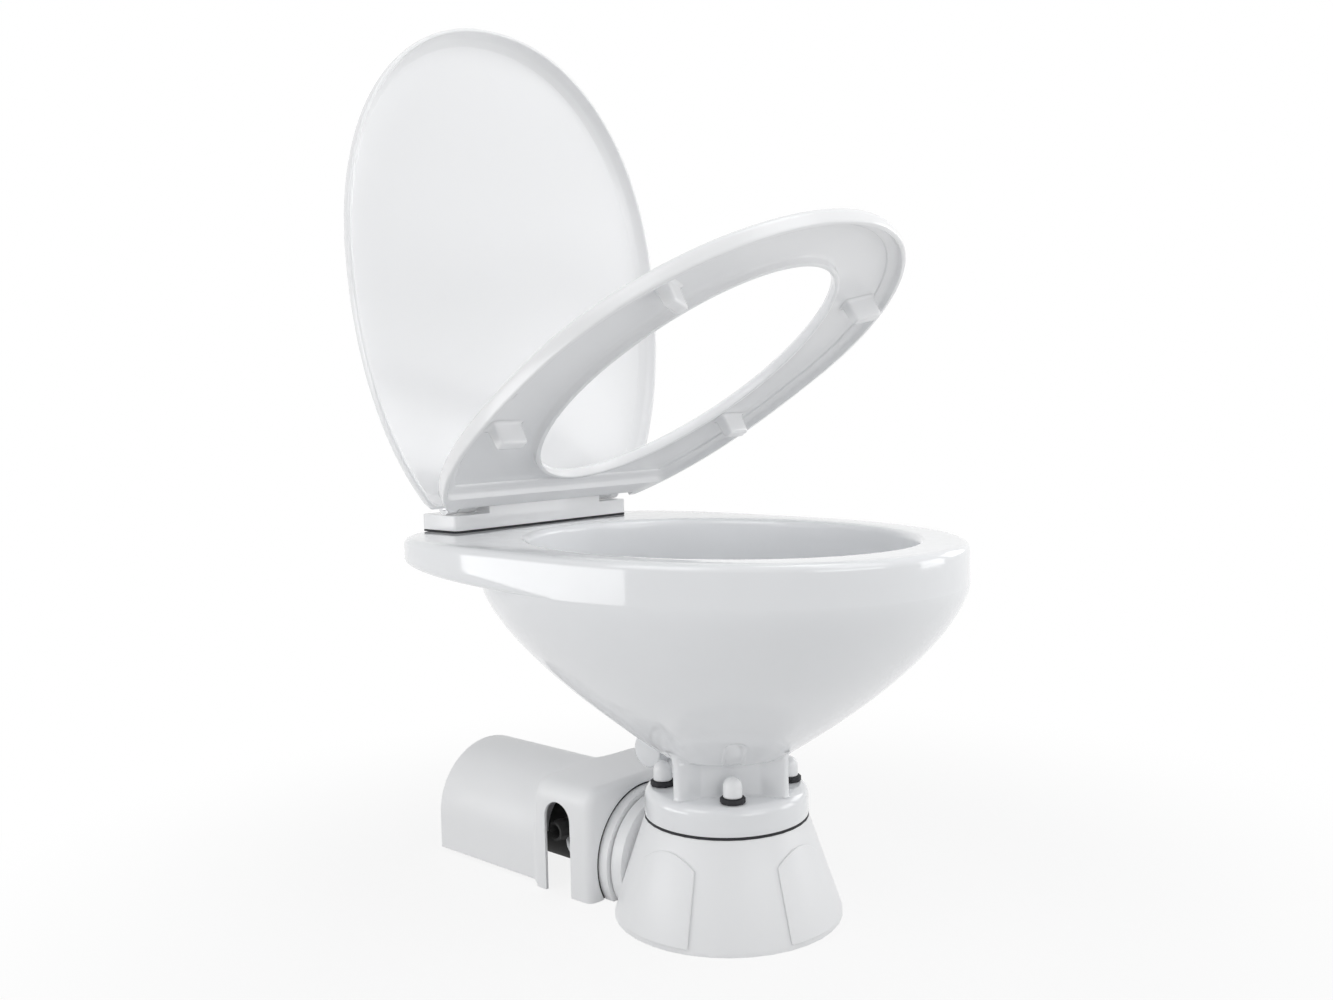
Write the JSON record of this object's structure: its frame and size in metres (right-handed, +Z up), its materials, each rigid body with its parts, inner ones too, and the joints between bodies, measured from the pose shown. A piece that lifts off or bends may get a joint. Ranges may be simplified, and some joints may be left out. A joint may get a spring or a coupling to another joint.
{
  "type": "electric marine toilet",
  "caption": "Electric marine toilet: a glazed oval bowl on a conical base, with macerator, flush pump and motor lying behind it under a cover, and a hinged seat and lid standing open.",
  "frame": {"origin": "centre of the conical base, on the floor", "axes": "+Z up, -Y towards the front of the bowl, +Y towards the hinge and the motor, +X to the discharge side"},
  "size_m": [0.411, 0.5708, 0.8572],
  "materials": {
    "ceramic": "gloss",
    "housing_plastic": "satin",
    "seat_plastic": "gloss",
    "rubber": "matte",
    "black_plastic": "matte",
    "steel": "satin",
    "copper": "satin"
  },
  "bodies": {
    "base": {"base_housing": "housing_plastic", "access_cover_front": "housing_plastic", "access_cover_left": "housing_plastic", "access_cover_right": "housing_plastic", "bowl_seal": "rubber", "bowl": "ceramic", "foot_bolt_1": "steel", "foot_bolt_2": "steel", "foot_bolt_3": "steel", "foot_bolt_4": "steel", "bolt_washer_1": "rubber", "bolt_washer_2": "rubber", "bolt_washer_3": "rubber", "bolt_washer_4": "rubber", "bolt_cap_1": "seat_plastic", "bolt_cap_2": "seat_plastic", "bolt_cap_3": "seat_plastic", "bolt_cap_4": "seat_plastic", "inlet_grommet": "rubber", "flush_inlet_nipple": "housing_plastic", "housing_gasket": "rubber", "macerator_housing": "housing_plastic", "discharge_nipple": "housing_plastic", "shaft_seal": "rubber", "flush_pump_body": "black_plastic", "flush_pump_plate": "steel", "pump_screw_1": "steel", "pump_screw_2": "steel", "motor_can": "black_plastic", "motor_end_cap": "black_plastic", "front_bearing": "steel", "rear_bearing": "steel", "motor_magnet": "black_plastic", "motor_brush_left": "copper", "motor_brush_right": "copper", "cable_gland": "rubber", "motor_saddle": "rubber", "motor_cover": "housing_plastic", "hinge_pad": "rubber", "hinge_base": "seat_plastic", "hinge_damper_left": "steel", "hinge_damper_right": "steel", "hinge_bolt_left": "steel", "hinge_bolt_right": "steel", "hinge_nut_left": "housing_plastic", "hinge_nut_right": "housing_plastic"},
    "seat": {"seat": "seat_plastic", "seat_bumper_1": "seat_plastic", "seat_bumper_2": "seat_plastic", "seat_bumper_3": "seat_plastic", "seat_bumper_4": "seat_plastic"},
    "lid": {"lid": "seat_plastic"},
    "rotor": {"motor_shaft": "steel", "armature": "copper", "commutator": "copper", "macerator_blade": "steel", "discharge_impeller": "black_plastic", "flush_impeller": "rubber"}
  },
  "joints": [
    {"name": "seat_hinge", "type": "hinge", "parent": "base", "child": "seat", "pos_m": [0, 0.252, 0.376], "axis": [-1, 0, 0], "range_deg": [-31.8, 53]},
    {"name": "lid_hinge", "type": "hinge", "parent": "seat", "child": "lid", "pos_m": [0, 0.252, 0.376], "axis": [-1, 0, 0], "range_deg": [-63.6, 25]},
    {"name": "motor_spin", "type": "hinge", "parent": "base", "child": "rotor", "pos_m": [0, 0.2, 0.04], "axis": [0, 1, 0], "continuous": true}
  ]
}
